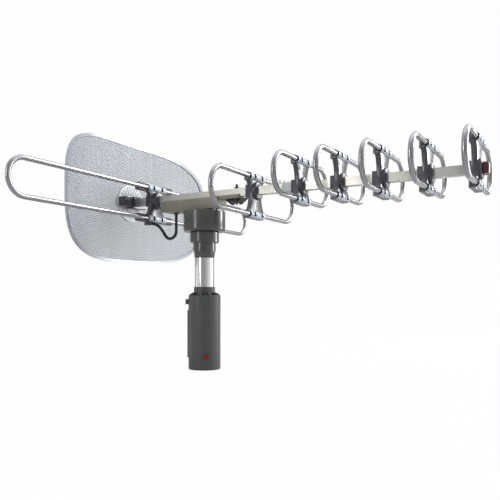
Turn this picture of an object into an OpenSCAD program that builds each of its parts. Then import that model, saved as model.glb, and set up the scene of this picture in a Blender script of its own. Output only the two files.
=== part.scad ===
// Outdoor television antenna: a folded dipole and six ring directors on a square boom,
// a bowed mesh reflector behind them, and a motor drum that turns the boom on its mast sleeve.
// The rings, dipole and brackets share one bracket module, mounted either way up.

/* [Mast sleeve] */
// Outside diameter of the lower sleeve
sleeve_d = 50; // [46:1:60]
// Length of the lower sleeve
sleeve_len = 115; // [100:1:160]
// Bore that slides over the user's mast
sleeve_bore_d = 38.5; // [30:0.5:40]
// Depth of that bore
sleeve_bore_depth = 82; // [60:1:85]
// Web between the mast bore and the tube seat
sleeve_web = 4; // [3:0.5:6]
// Diameter of the bright mast tube
tube_d = 30; // [28:0.5:32]
// Wall of the mast tube
tube_wall = 1.6; // [1.2:0.1:2.5]
// Length of mast tube in view
tube_exposed = 45; // [30:1:80]
// Outside diameter of the collar on the sleeve
collar_d = 33; // [32.6:0.2:36]
// Height of the collar
collar_h = 13; // [8:1:20]
// Diameter of the clamp screw's head
clamp_head_d = 8; // [7:0.5:12]
// Height of the clamp screw above the sleeve's mouth
clamp_z = 21; // [12:1:40]

/* [Rotor] */
// Diameter of the socket that sits on the mast tube
socket_d = 35; // [34:0.5:40]
// Height of the socket's straight part
socket_h = 13; // [10:0.5:20]
// Height of the socket's cone
cone_h = 11; // [8:0.5:16]
// Diameter of the bearing cup
cup_d = 45; // [42:0.5:52]
// Height of the bearing cup
cup_h = 16.5; // [14:0.5:18]
// Diameter of the motor drum
drum_d = 65; // [65:0.5:76]
// Height of the motor drum without its lid
drum_h = 29.7; // [29:0.1:40]
// Wall of the motor drum
drum_wall = 2.4; // [1.8:0.2:3]
// Thickness of the drum's lid
lid_t = 2.5; // [2:0.5:4]
// Height of the pad on the lid that carries the cradle
pad_h = 2; // [1.5:0.5:4]
// Diameter of the output shaft
shaft_d = 12; // [10:0.5:13]
// Diameter of the shaft's end inside the gear motor
drive_d = 8; // [6:0.5:9]
// Diameter of the gear motor
motor_d = 39; // [34:1:40]

/* [Boom] */
// Side of the square boom tube
boom_w = 12; // [11:0.5:13]
// Wall of the boom tube
boom_wall = 1.2; // [1:0.1:1.6]
// Reach of the boom in front of the mast
boom_front = 416; // [412:1:430]
// Reach of the boom behind the mast
boom_rear = 149; // [149:1:150]
// Where the two boom sections meet, in front of the mast
boom_joint = 147; // [146.5:0.5:147]
// Length of the coupler over that joint
coupler_len = 15.5; // [12:0.5:15.5]
// Length of the boom's end cap in view
cap_len = 6.5; // [5:0.5:10]

/* [Cradle] */
// Length of the cradle that carries the boom
cradle_len = 104; // [100:1:120]
// Width of the cradle
cradle_w = 31; // [30:1:40]
// Height of the cradle
cradle_h = 18; // [17:0.5:24]
// Wall of the cradle
cradle_wall = 2.2; // [1.6:0.2:3]
// How far the cradle reaches in front of the mast
cradle_front = 31; // [30:1:34]
// Depth of the groove that holds the boom
groove_depth = 2; // [1:0.5:2.5]

/* [Elements] */
// Diameter of the ring and dipole tube
rod_d = 7; // [6:0.5:7.5]
// Distance between the rods of a director ring
ring_h = 55.3; // [52:0.5:60]
// Width of the first director ring between tube centres
ring1_w = 245.4; // [220:1:270]
// Width of the other director rings between tube centres
ring_w = 179.2; // [150:1:200]
// First ring, in front of the mast
ring1_y = 93; // [92:1:96]
// Second ring, in front of the mast
ring2_y = 168.5; // [168:0.5:172]
// Pitch from the second ring on
ring_pitch = 59.6; // [57:0.2:59.6]
// How far a bracket's middle stands off the boom's axis
hub_offset = 8; // [6:0.5:9]
// Width of the folded dipole between tube centres
dipole_w = 578; // [500:1:620]
// Distance between the dipole's rods
dipole_h = 49.6; // [48:0.2:54]
// Place of the dipole behind the mast
dipole_y = 96; // [94:1:98]
// How far the dipole's middle hangs below the boom's axis
dipole_drop = 5.5; // [4:0.5:7]
// Gap between the dipole's two feed ends
feed_gap = 8; // [4:1:12]

/* [Brackets] */
// Thickness of a bracket, front to back
bracket_t = 7.2; // [6:0.2:8]
// How far a bracket's plate stands behind its rods
plate_shift = 2.5; // [1:0.5:3]
// Half the length of the sleeves in front of the rods
bracket_half = 22; // [20:1:24]
// Half the waist of a director bracket
bracket_waist = 13.5; // [12.5:0.5:15]
// Half the length of the rails behind the dipole's rods
dipole_rail = 43; // [40:1:44]
// Half the waist of the dipole bracket
dipole_waist = 12.5; // [12:0.5:15]
// Wall around a rod in its sleeve
sleeve_wall = 1.6; // [1.4:0.2:2.4]
// Side of the square hub block behind a bracket
hub_w = 18.5; // [17:0.5:20]
// Length of the hub block behind the plate
hub_len = 7.5; // [7:0.5:10]
// Diameter of the round flange in front
flange_d = 27; // [24:1:28]
// Thickness of that flange
flange_t = 4.5; // [3:0.5:6]
// Width of the slots in the rod sleeves
slot_w = 4.6; // [2:0.2:5]
// Reach of the rail behind a rod
sleeve_back = 8; // [5:0.5:9]
// Thickness of the dipole bracket's flange
dipole_flange_t = 9; // [4:0.5:10]

/* [Reflector] */
// Width of the reflector, edge to edge
reflector_w = 348; // [320:1:380]
// Height of the reflector
reflector_h = 201; // [190:1:220]
// How far the reflector's middle stands above the boom's axis
reflector_up = 0; // [-4:1:8]
// Place of the mesh behind the mast, at its middle
reflector_y = 154; // [153.5:0.1:154.5]
// How far the sides bow forward
reflector_bow = 34; // [20:1:44]
// Squareness of the outline's corners
reflector_power = 3.2; // [2.4:0.1:5]
// Thickness of the mesh sheet
mesh_t = 1; // [0.8:0.1:1.6]
// Width of the folded rim
rim_w = 4.5; // [3:0.5:7]
// Thickness of the folded rim
rim_t = 3.2; // [2.6:0.2:5]
// Diameter of the slotted hub disc
disc_d = 62; // [54:1:66]
// Width of the clamp bar across the hub disc
clamp_w = 60; // [56:1:64]
// Height of the clamp bar
clamp_h = 15; // [15:0.5:18]

/* [Feed lead] */
// Diameter of the feed lead
lead_d = 5; // [4:0.1:5.4]

/* [Hidden] */
$fn = 64;
// Running clearance of a shaft or pin, each side
run_gap = 0.05;
// Small clearance where one piece slips into another, each side
slip = 0.1;
// Gap between the turning drum and the fixed cup
turn_gap = 0.3;
// Overshoot that makes a cut pass clean through
cut = 1;

// Heights, from the mouth of the sleeve upwards
tube_z0 = sleeve_bore_depth + sleeve_web;
collar_z = sleeve_len;
socket_z = collar_z + collar_h + tube_exposed;
cup_z = socket_z + cone_h + socket_h;
drum_z = cup_z + cup_h + turn_gap;
lid_z = drum_z + drum_h;
lid_top = lid_z + lid_t;
cradle_z = lid_top + pad_h;
groove_z = cradle_z + cradle_h - groove_depth;
boom_z = groove_z + boom_w / 2;

// Rotor insides
cup_spigot_d = 24;
cup_spigot_h = 6;
shaft_flange_d = 20;
shaft_flange_t = 2.2;
cup_recess_h = cup_spigot_h + shaft_flange_t + 0.1;
washer_t = 1.2;
washer_d = 26;
washer_z = cup_z + cup_h;
drum_floor = 3.6;
bush_d = shaft_d + 4;
bush_flange_d = shaft_d + 8;
bush_flange_t = 1.5;
boss_h = 4.5;
washer_recess = washer_t + 0.3 - turn_gap;
bush_z = drum_z + washer_recess;
bush_top = drum_z + drum_floor + boss_h + bush_flange_t;
circlip_z = bush_top + 0.2;
circlip_t = 1;
shaft_top = circlip_z + circlip_t + 0.6;
plate_z = shaft_top + 0.4;
plate_t = 1.2;
motor_z = plate_z + plate_t;
motor_h = lid_z - motor_z - 2.8;
drive_len = 9;
plate_r = drum_d / 2 - drum_wall - 0.6;
// Midway between the motor's can and the drum's wall
post_r = (motor_d / 2 + drum_d / 2 - drum_wall) / 2;
post_d = 6;
post_angles = [0, 90, 180, 270];
screw_d = 2.6;
head_h = 1.6;
lid_screw_r = drum_d / 2 - drum_wall - 2.9;
lid_screw_angles = [45, 135, 225, 315];
lid_recess = 1.5;
pad_w = 15;
bolt_d = 4;
// As far out as the drum's wall and the cradle's front leave room for
bolt_y = min(cradle_front - 7, drum_d / 2 - drum_wall - 6.1);
pad_len = 2 * (bolt_y + 5);
wire_hole_d = 7;

// Cradle
cradle_rear = cradle_len - cradle_front;
cover_t = 2;
cradle_top_t = 3.5;
tongue_len = 37;
tongue_w = 16.4;
tongue_t = 2.5;
tongue_cheek = 3;
boom_bolt_y = -(cradle_front + 28);
gland_y = 54.8;
gland_d = 7.4;
cradle_screw_x = cradle_w / 2 - cradle_wall - 3.1;
cradle_screw_ys = [-cradle_front + 6, cradle_rear - 26];

// Brackets
rod_clear = 0.15;
barrel_d = rod_d + 2 * sleeve_wall;
rail_h = barrel_d + 1.6;
plate_rear = plate_shift + bracket_t / 2;
plate_front = plate_shift - bracket_t / 2;
slot_h = 6.6;
shell_wall = 2;
hub_hole = boom_w + 2 * slip;
ring_count = 6;
ring_ys = [for (i = [0 : ring_count - 1])
    i == 0 ? -ring1_y : -(ring2_y + (i - 1) * ring_pitch)];

// Reflector: a sheet bent to one radius about a vertical axis in front of it
bow_half = reflector_w / 2;
bow_r = (bow_half * bow_half + reflector_bow * reflector_bow) / (2 * reflector_bow);
bow_axis_y = reflector_y - bow_r;
reflector_z = boom_z + reflector_up;
outline_steps = 72;
mesh_cols = 11;
mesh_rows = 9;
mesh_pitch_x = (reflector_w - 2 * rim_w) / (mesh_cols + 0.3);
mesh_pitch_z = (reflector_h - 2 * rim_w) / (mesh_rows + 0.6);
mesh_web = 3;
disc_t = 3.4;
disc_front = reflector_y - mesh_t - disc_t;
clamp_grip = 11;
clamp_t = disc_front - (boom_rear - clamp_grip);
hub_screw_x = clamp_w / 2 - 6;
backplate_t = 2.5;

// Route of the feed lead, from the gland down, round and up to the dipole's terminal,
// as offsets [x, y, z] from the boom's axis above the mast
lead_route = [[0, 54.8, -21], [0, 54.8, -31], [0, 54.8, -41], [0, 54.8, -51.2],
    [0, 56.4, -57.2], [0, 60.8, -61.6], [0, 66.8, -63.2], [0, 72.8, -61.6], [0, 77.2, -57.2],
    [-0.6, 80.8, -51.4], [-2.6, 84, -45.9], [-6, 87.2, -41.6], [-10.8, 90.3, -39.2],
    [-16, 93.3, -38.9]];
lead_end = lead_route[len(lead_route) - 1];
lead_turn = 150;
terminal_len = 10;
lead_sides = 8;

// Radius of the circle through a waist and its flare: half chord c, depth s
function arc_r(c, s) = (c * c + s * s) / (2 * s);

// One step of a smooth curve through four points
function spline(a, b, c, d, t) = 0.5 * (2 * b + (c - a) * t
    + (2 * a - 5 * b + 4 * c - d) * t * t + (3 * b - a - 3 * c + d) * t * t * t);

function smooth_path(p, n) = let (last = len(p) - 1)
    [for (i = [0 : last - 1], k = [0 : n - 1])
        spline(p[max(i - 1, 0)], p[i], p[i + 1], p[min(i + 2, last)], k / n), p[last]];

function unit(v) = v / norm(v);

function path_dir(p, i) = unit(p[min(i + 1, len(p) - 1)] - p[max(i - 1, 0)]);

// Ring of points round one place on a path
function path_ring(p, i, r, n) = let (
        t = path_dir(p, i),
        u = unit(cross(t, [1, 0.2, 0.05])),
        v = cross(t, u))
    [for (k = [0 : n - 1]) p[i] + r * (cos(360 * k / n) * u + sin(360 * k / n) * v)];

// Point of the reflector's outline at angle a, for half sizes w and h
function squircle(a, w, h, power) = let (
        c = cos(a), s = sin(a),
        k = pow(pow(abs(c), power) + pow(abs(s), power), -1 / power))
    [w * c * k, h * s * k];

// True where a point of the sheet lies inside the outline shrunk by inset
function in_outline(x, z, inset) =
    pow(abs(x) / (reflector_w / 2 - inset), reflector_power)
    + pow(abs(z) / (reflector_h / 2 - inset), reflector_power) < 1;

module tube_z(d, bore, h) {
    difference() {
        cylinder(d = d, h = h);
        translate([0, 0, -cut]) cylinder(d = bore, h = h + 2 * cut);
    }
}

// Box centred on x and z, running along +Y from y0 to y1
module bar_y(w, h, y0, y1) {
    translate([-w / 2, y0, -h / 2]) cube([w, y1 - y0, h]);
}

// Pan-head screw along +Z, its head's underside at the origin and its shank below
module screw(d, len, head_d, head_h) {
    cylinder(d = head_d, h = head_h);
    translate([0, 0, -len]) cylinder(d = d, h = len);
}

// Profile of a turned body with a small chamfer at top and bottom
module turned(d, h, chamfer) {
    rotate_extrude() polygon([[0, 0], [d / 2 - chamfer, 0], [d / 2, chamfer],
        [d / 2, h - chamfer], [d / 2 - chamfer, h], [0, h]]);
}

module mast_sleeve() {
    color("dimgray") difference() {
        union() {
            turned(sleeve_d, sleeve_len, 0.8);
            // Moulded ridge down one side and the hook tab above it
            rotate([0, 0, 120]) translate([sleeve_d / 2 - 1, -2, 18]) cube([2.6, 4, 74]);
            rotate([0, 0, 120]) translate([sleeve_d / 2 - 1, -3, sleeve_len - 14])
                cube([5.5, 6, 8]);
        }
        translate([0, 0, -cut]) cylinder(d = sleeve_bore_d, h = sleeve_bore_depth + cut);
        translate([0, 0, tube_z0]) cylinder(d = tube_d + 2 * slip, h = sleeve_len);
        translate([0, 0, sleeve_bore_depth - cut]) cylinder(d = 20, h = sleeve_web + 2 * cut);
        clamp_place() cylinder(d = 5 + 2 * slip, h = sleeve_d, center = true);
    }
}

// The clamp screw stands on the side that faces forward and left
clamp_angle = 220;
module clamp_place() {
    rotate([0, 0, clamp_angle]) translate([sleeve_d / 2, 0, clamp_z]) rotate([0, 90, 0])
        children();
}

module clamp_screw() {
    color("firebrick") clamp_place() difference() {
        union() {
            screw(5, (sleeve_d - sleeve_bore_d) / 2 - 0.5, clamp_head_d, 3);
            cylinder(d = clamp_head_d + 1.6, h = 0.8);
        }
        translate([0, 0, 1.4]) cylinder(d = 4.6, h = 3, $fn = 6);
    }
}

module mast_collar() {
    color("dimgray") translate([0, 0, collar_z]) difference() {
        union() {
            turned(collar_d, collar_h, 0.5);
            // Fins that stiffen the collar's foot
            for (i = [0 : fin_count - 1]) rotate([0, 0, (i + 0.5) * 360 / fin_count])
                rotate([90, 0, 0]) translate([0, 0, -1]) linear_extrude(2)
                polygon([[collar_d / 2 - 0.6, 0], [sleeve_d / 2 - 1.4, 0],
                    [sleeve_d / 2 - 1.4, 1.4], [collar_d / 2 - 0.6, 5.5]]);
        }
        translate([0, 0, -cut]) cylinder(d = tube_d + 2 * slip, h = collar_h + 2 * cut);
    }
}

module mast_tube() {
    color("silver") translate([0, 0, tube_z0])
        tube_z(tube_d, tube_d - 2 * tube_wall, socket_z - tube_z0);
}

spigot_len = 24;
fin_count = 10;
module mast_socket() {
    color("dimgray") translate([0, 0, socket_z]) difference() {
        rotate_extrude() polygon([[0, -spigot_len],
            [tube_d / 2 - tube_wall - slip, -spigot_len], [tube_d / 2 - tube_wall - slip, 0],
            [tube_d / 2 + 0.3, 0], [tube_d / 2 + 1.6, cone_h - 1.2],
            [tube_d / 2 + 1.6, cone_h], [socket_d / 2 - 0.4, cone_h],
            [socket_d / 2, cone_h + 0.4], [socket_d / 2, cone_h + socket_h],
            [cup_spigot_d / 2, cone_h + socket_h],
            [cup_spigot_d / 2, cone_h + socket_h + cup_spigot_h],
            [0, cone_h + socket_h + cup_spigot_h]]);
        translate([0, 0, -spigot_len - cut])
            cylinder(d = 8, h = spigot_len + cone_h + socket_h + cup_spigot_h + 2 * cut);
    }
}

module bearing_cup() {
    color("dimgray") translate([0, 0, cup_z]) difference() {
        turned(cup_d, cup_h, 0.9);
        translate([0, 0, -cut]) cylinder(d = cup_spigot_d + 2 * slip, h = cup_recess_h + cut);
        cylinder(d = shaft_d + 2 * slip, h = cup_h + cut);
    }
}

module output_shaft() {
    color("lightgray") translate([0, 0, cup_z + cup_spigot_h]) difference() {
        union() {
            cylinder(d = shaft_flange_d, h = shaft_flange_t);
            cylinder(d = shaft_d, h = shaft_top - cup_z - cup_spigot_h);
            cylinder(d = drive_d, h = motor_z + drive_len - cup_z - cup_spigot_h);
        }
        translate([0, 0, -cut]) cylinder(d = 4, h = motor_z + 2 * drive_len - cup_z);
        translate([0, 0, circlip_z - cup_z - cup_spigot_h - 0.05])
            tube_z(shaft_d + 2, shaft_d - 1.2, circlip_t + 0.1);
    }
}

module thrust_washer() {
    color("white") translate([0, 0, washer_z])
        tube_z(washer_d, shaft_d + 4 * slip, washer_t);
}

module shaft_circlip() {
    color("gray") translate([0, 0, circlip_z]) difference() {
        tube_z(shaft_d + 3, shaft_d - 1.0, circlip_t);
        translate([0, -1.5, -cut]) cube([shaft_d, 3, circlip_t + 2 * cut]);
    }
}

module rotor_housing() {
    color("dimgray") translate([0, 0, drum_z]) difference() {
        union() {
            difference() {
                rotate_extrude() polygon([[0, 0], [drum_d / 2 - 3, 0], [drum_d / 2 - 1, 0.9],
                    [drum_d / 2, 3], [drum_d / 2, drum_h], [0, drum_h]]);
                translate([0, 0, drum_floor])
                    cylinder(d = drum_d - 2 * drum_wall, h = drum_h);
            }
            cylinder(d = bush_d + 5, h = drum_floor + boss_h);
            // The posts and bosses start inside the floor, clear of the rounded edge
            for (a = post_angles) rotate([0, 0, a]) translate([post_r, 0, drum_floor / 2])
                cylinder(d = post_d, h = plate_z - drum_z - drum_floor / 2, $fn = 32);
            for (a = lid_screw_angles) rotate([0, 0, a])
                translate([lid_screw_r, 0, drum_floor / 2])
                cylinder(d = 4.8, h = drum_h - drum_floor / 2, $fn = 32);
        }
        translate([0, 0, -cut]) cylinder(d = washer_d + 1, h = washer_recess + cut);
        translate([0, 0, -cut]) cylinder(d = bush_d, h = drum_h);
        for (a = post_angles) rotate([0, 0, a]) translate([post_r, 0, drum_floor])
            cylinder(d = screw_d, h = drum_h, $fn = 32);
        for (a = lid_screw_angles) rotate([0, 0, a])
            translate([lid_screw_r, 0, drum_h - 9]) cylinder(d = screw_d, h = 9 + cut, $fn = 32);
    }
}

module rotor_lid() {
    color("dimgray") translate([0, 0, lid_z]) difference() {
        union() {
            rotate_extrude() polygon([[0, 0], [drum_d / 2, 0], [drum_d / 2, lid_t - 1.4],
                [drum_d / 2 - 0.4, lid_t - 0.4], [drum_d / 2 - 1.4, lid_t], [0, lid_t]]);
            translate([-pad_w / 2, -pad_len / 2, lid_t]) cube([pad_w, pad_len, pad_h]);
        }
        for (a = lid_screw_angles) rotate([0, 0, a]) translate([lid_screw_r, 0, 0]) {
            translate([0, 0, -cut]) cylinder(d = screw_d + 2 * slip, h = lid_t + 2 * cut, $fn = 32);
            translate([0, 0, lid_t - lid_recess]) cylinder(d = 4.8, h = lid_t, $fn = 32);
        }
        for (s = [-1, 1]) translate([0, s * bolt_y, -cut])
            cylinder(d = bolt_d + 2 * slip, h = lid_t + pad_h + 2 * cut, $fn = 32);
        // Way for the leads from the motor into the cradle
        translate([0, 0, -cut]) cylinder(d = wire_hole_d, h = lid_t + pad_h + 2 * cut);
    }
}

module lid_screws() {
    color("silver") for (a = lid_screw_angles) rotate([0, 0, a])
        translate([lid_screw_r, 0, lid_top - lid_recess]) screw(screw_d, lid_t + 5, 4.4, 1.4, $fn = 32);
}

module drum_bolts() {
    color("silver") for (s = [-1, 1]) translate([0, s * bolt_y, lid_z]) {
        translate([0, 0, -2.4]) cylinder(d = 7, h = 2.4, $fn = 6);
        cylinder(d = bolt_d, h = lid_t + pad_h + cover_t + 3.6, $fn = 32);
    }
}

module drum_nuts() {
    color("silver") for (s = [-1, 1])
        translate([0, s * bolt_y, cradle_z + cover_t]) difference() {
            cylinder(d = 8, h = 3.2, $fn = 6);
            translate([0, 0, -cut]) cylinder(d = bolt_d + 2 * run_gap, h = 6, $fn = 32);
        }
}

module bearing_bush() {
    color("goldenrod") difference() {
        union() {
            translate([0, 0, bush_z]) cylinder(d = bush_d, h = bush_top - bush_z);
            translate([0, 0, bush_top - bush_flange_t])
                cylinder(d = bush_flange_d, h = bush_flange_t);
        }
        translate([0, 0, bush_z - cut])
            cylinder(d = shaft_d + 2 * run_gap, h = bush_top - bush_z + 2 * cut);
    }
}

module motor_plate() {
    color("lightgray") translate([0, 0, plate_z]) difference() {
        cylinder(r = plate_r, h = plate_t);
        for (a = lid_screw_angles) rotate([0, 0, a]) translate([lid_screw_r, 0, -cut])
            cylinder(d = 6.6, h = plate_t + 2 * cut, $fn = 32);
        for (a = post_angles) rotate([0, 0, a]) translate([post_r, 0, -cut])
            cylinder(d = screw_d + 2 * slip, h = plate_t + 2 * cut, $fn = 32);
        translate([0, 0, -cut]) cylinder(d = shaft_d + 4, h = plate_t + 2 * cut);
    }
}

module motor_screws() {
    color("silver") for (a = post_angles) rotate([0, 0, a])
        translate([post_r, 0, plate_z + plate_t])
            screw(screw_d, plate_t + 6, 4.6, head_h, $fn = 32);
}

// Sealed motor with its reduction gears; the shaft's end stands in its bore
module gear_motor() {
    color("silver") translate([0, 0, motor_z]) difference() {
        turned(motor_d, motor_h, 0.8);
        translate([0, 0, -cut]) cylinder(d = drive_d + 2 * run_gap, h = drive_len + 1 + cut);
    }
}

module cradle_body_2d(inset) {
    translate([0, (cradle_rear - cradle_front) / 2])
        square([cradle_w - 2 * inset, cradle_len - 2 * inset], center = true);
}

module boom_cradle() {
    color("darkkhaki") difference() {
        union() {
            difference() {
                translate([0, 0, cradle_z]) linear_extrude(cradle_h) cradle_body_2d(0);
                translate([0, 0, cradle_z - cut])
                    linear_extrude(cradle_h - cradle_top_t + cut)
                    cradle_body_2d(cradle_wall);
            }
            // Screw bosses inside, and the tongue that the front bolt clamps to the boom
            for (s = [-1, 1], y = cradle_screw_ys) translate([s * cradle_screw_x, y, cradle_z + cover_t])
                cylinder(d = 6, h = cradle_h - cover_t - 1, $fn = 32);
            translate([-tongue_w / 2, -cradle_front - tongue_len, groove_z - tongue_t])
                cube([tongue_w, tongue_len + cradle_wall, tongue_t + tongue_cheek]);
        }
        // Chamfers along the two upper edges
        for (s = [-1, 1]) translate([s * cradle_w / 2, 0, cradle_z + cradle_h])
            rotate([0, 45, 0]) cube([2.4, 3 * cradle_len, 2.4], center = true);
        translate([0, 0, boom_z]) bar_y(hub_hole, boom_w, -cradle_len, cradle_len);
        for (s = [-1, 1], y = cradle_screw_ys) translate([s * cradle_screw_x, y, cradle_z - cut])
            cylinder(d = screw_d, h = 11, $fn = 32);
        translate([0, boom_bolt_y, cradle_z]) cylinder(d = bolt_d + 2 * slip, h = cradle_h);
    }
}

module cradle_cover() {
    color("gray") translate([0, 0, cradle_z]) difference() {
        linear_extrude(cover_t) cradle_body_2d(cradle_wall + slip);
        for (s = [-1, 1], y = cradle_screw_ys) translate([s * cradle_screw_x, y, -cut])
            cylinder(d = screw_d + 2 * slip, h = cover_t + 2 * cut, $fn = 32);
        for (s = [-1, 1]) translate([0, s * bolt_y, -cut])
            cylinder(d = bolt_d + 2 * slip, h = cover_t + 2 * cut, $fn = 32);
        translate([0, 0, -cut]) cylinder(d = wire_hole_d, h = cover_t + 2 * cut);
        translate([0, gland_y, -cut]) cylinder(d = gland_d + 2 * slip, h = cover_t + 2 * cut);
    }
}

module cradle_screws() {
    color("silver") for (s = [-1, 1], y = cradle_screw_ys)
        translate([s * cradle_screw_x, y, cradle_z]) mirror([0, 0, 1])
            screw(screw_d, 9, 4.6, head_h, $fn = 32);
}

board_w = 24;
board_len = 40;
board_y = 10;
board_z = cradle_z + cover_t + 4.2;
module amplifier_board() {
    color("darkgreen") {
        translate([-board_w / 2 + 1.5, board_y - board_len / 2 + 20, board_z])
            cube([board_w - 3, board_len - 20, 1.4]);
        // Shield can, two coils and the standoffs that rest on the cover
        translate([-8, board_y + 2, board_z + 1.4]) cube([12, 12, 4]);
        for (x = [-8, 8], y = [board_y + 3, board_y + 17]) translate([x, y, cradle_z + cover_t])
            cylinder(d = 3, h = 4.2, $fn = 24);
        for (y = [board_y + 6, board_y + 12]) translate([8, y, board_z + 1.4])
            cylinder(d = 3, h = 3, $fn = 24);
    }
}

module cable_gland() {
    color("black") translate([0, gland_y, cradle_z]) difference() {
        union() {
            cylinder(d = gland_d, h = cover_t + 2);
            translate([0, 0, -1.6]) cylinder(d = gland_d + 1.4, h = 1.6);
        }
        translate([0, 0, -5]) cylinder(d = lead_d + 2 * slip, h = 10);
    }
}

module boom_tube(y0, y1) {
    translate([0, 0, boom_z]) difference() {
        bar_y(boom_w, boom_w, y0, y1);
        bar_y(boom_w - 2 * boom_wall, boom_w - 2 * boom_wall, y0 - cut, y1 + cut);
        translate([0, boom_bolt_y, 0])
            cylinder(d = bolt_d + 2 * slip, h = 2 * boom_w, center = true);
    }
}

module boom_rear_tube() {
    color("darkgray") boom_tube(-boom_joint, boom_rear);
}

module boom_front_tube() {
    color("darkgray") boom_tube(-boom_front, -boom_joint);
}

module boom_splice() {
    w = boom_w - 2 * boom_wall - 2 * slip;
    color("dimgray") translate([0, 0, boom_z]) bar_y(w, w, -boom_joint - 28, -boom_joint + 28);
}

// Sleeve over the joint with rounded shoulders and a sprung hook on top
coupler_wall = 1.8;
module boom_coupler() {
    w = boom_w + 2 * coupler_wall;
    y0 = -boom_joint - coupler_len / 2;
    color("lightgray") translate([0, 0, boom_z]) difference() {
        union() {
            intersection() {
                bar_y(w, w, y0, y0 + coupler_len);
                translate([0, y0, 0]) rotate([-90, 0, 0])
                    cylinder(d = w * 1.25, h = coupler_len);
            }
            // Hook: a strip along the boom's top that curls up behind the sleeve
            translate([-2, y0 + coupler_len - 4, boom_w / 2 + slip]) cube([4, 7, 1.6]);
            translate([-2, y0 + coupler_len + 3, boom_w / 2 + slip + 4.4])
                rotate([0, 90, 0]) rotate([0, 0, -90]) rotate_extrude(angle = 210)
                translate([2.8, 0]) square([1.6, 4]);
        }
        bar_y(hub_hole, hub_hole, y0 - cut, y0 + coupler_len + cut);
    }
}

module boom_end_cap() {
    w = boom_w + 2.4;
    plug = boom_w - 2 * boom_wall - 2 * slip;
    color("maroon") translate([0, 0, boom_z]) {
        difference() {
            union() {
                bar_y(w, w, -boom_front - 3, -boom_front - 3 + cap_len);
                bar_y(w - 2, w - 2, -boom_front - 4, -boom_front);
            }
            bar_y(hub_hole, hub_hole, -boom_front, 0);
        }
        bar_y(plug, plug, -boom_front - 1, -boom_front + 12);
    }
}

module boom_bolt() {
    color("dimgray") translate([0, boom_bolt_y, boom_z + boom_w / 2]) {
        cylinder(d = 7.2, h = 2.8, $fn = 6);
        translate([0, 0, 2]) cylinder(d = bolt_d, h = 5);
        translate([0, 0, -boom_w - tongue_t - 9]) cylinder(d = bolt_d, h = boom_w + tongue_t + 10);
    }
}

// Two wings that lean out and down from a round nut
wing_z = groove_z - tongue_t;
module wing_nut() {
    color("dimgray") translate([0, boom_bolt_y, wing_z]) difference() {
        union() {
            translate([0, 0, -4]) cylinder(d = 9, h = 4);
            for (s = [-1, 1]) rotate([90, 0, 90]) translate([0, 0, -1.6])
                linear_extrude(3.2)
                polygon([[s * 2.2, 0], [s * 18.8, 0], [s * 18.4, -2.2], [s * 8.4, -9.4],
                    [s * 5.4, -9.4], [s * 3, -6]]);
        }
        translate([0, 0, -12]) cylinder(d = bolt_d + 2 * run_gap, h = 14);
    }
}

// Racetrack of round tube in the XZ plane, centred on the origin
module racetrack(w, h, gap) {
    straight = w - h;
    for (s = [-1, 1]) translate([s * straight / 2, 0, 0]) rotate([90, 0, 0])
        rotate([0, 0, s > 0 ? -90 : 90]) rotate_extrude(angle = 180)
        translate([h / 2, 0]) circle(d = rod_d, $fn = 32);
    translate([-straight / 2, 0, h / 2]) rotate([0, 90, 0])
        cylinder(d = rod_d, h = straight, $fn = 32);
    for (s = [-1, 1]) translate([s > 0 ? gap / 2 : -straight / 2, 0, -h / 2])
        rotate([0, 90, 0]) cylinder(d = rod_d, h = (straight - gap) / 2, $fn = 32);
}

module dipole() {
    color("silver") translate([0, dipole_y, boom_z - dipole_drop])
        racetrack(dipole_w, dipole_h, feed_gap);
}

module director(i) {
    color("silver") translate([0, ring_ys[i], boom_z + (i == 0 ? -hub_offset : hub_offset)])
        racetrack(i == 0 ? ring1_w : ring_w, ring_h, 0);
}

// Waisted plate outline between two rods
module waisted_2d(h, half, waist, inset) {
    chord = h / 2 - rod_d / 2;
    r = arc_r(chord, half - waist);
    difference() {
        square([2 * (half - inset), h - 2 * inset], center = true);
        for (s = [-1, 1]) translate([s * (waist + r), 0]) circle(r = r + inset, $fn = 96);
    }
}

// Moulded bracket: slotted sleeves in front of two rods, rails behind them, joined by a
// waisted shell that is open behind, a square hub and a round flange in front. The boom
// passes at height z = up.
module bracket(h, rail, waist, up, slots, flange_len) {
    difference() {
        union() {
            rotate([90, 0, 0]) translate([0, 0, -plate_rear]) linear_extrude(bracket_t)
                waisted_2d(h, bracket_half, waist, 0);
            rod_sleeves(h, rail);
            translate([0, 0, up]) bar_y(hub_w, hub_w, plate_front, plate_rear + hub_len);
            translate([0, plate_front + 0.01, up]) rotate([90, 0, 0]) flange(flange_len);
        }
        // Hollow of the shell, left and right of the hub
        difference() {
            rotate([90, 0, 0]) translate([0, 0, -plate_rear - cut])
                linear_extrude(bracket_t + cut - shell_wall)
                waisted_2d(h, bracket_half, waist, shell_wall);
            translate([0, 0, up]) bar_y(hub_w, hub_w, plate_front, plate_rear + hub_len);
            rod_sleeves(h, rail);
        }
        for (s = [-1, 1]) translate([-rail - cut, 0, s * h / 2]) rotate([0, 90, 0])
            cylinder(d = rod_d + 2 * rod_clear, h = 2 * rail + 2 * cut);
        for (s = [-1, 1], x = slots) translate([x - slot_w / 2, -barrel_d, s * h / 2 - slot_h / 2])
            cube([slot_w, barrel_d, slot_h]);
        translate([0, 0, up]) bar_y(hub_hole, hub_hole, -2 * barrel_d, barrel_d + hub_len);
        translate([0, plate_rear + hub_len - 4, up]) cylinder(d = screw_d, h = hub_w);
    }
}

// Sleeve round the front of each rod and the square rail behind it
module rod_sleeves(h, rail) {
    for (s = [-1, 1]) translate([0, 0, s * h / 2]) {
        translate([-bracket_half, 0, 0]) rotate([0, 90, 0])
            cylinder(d = barrel_d, h = 2 * bracket_half);
        translate([-rail, 0, -rail_h / 2]) cube([2 * rail, sleeve_back, rail_h]);
    }
}

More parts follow.
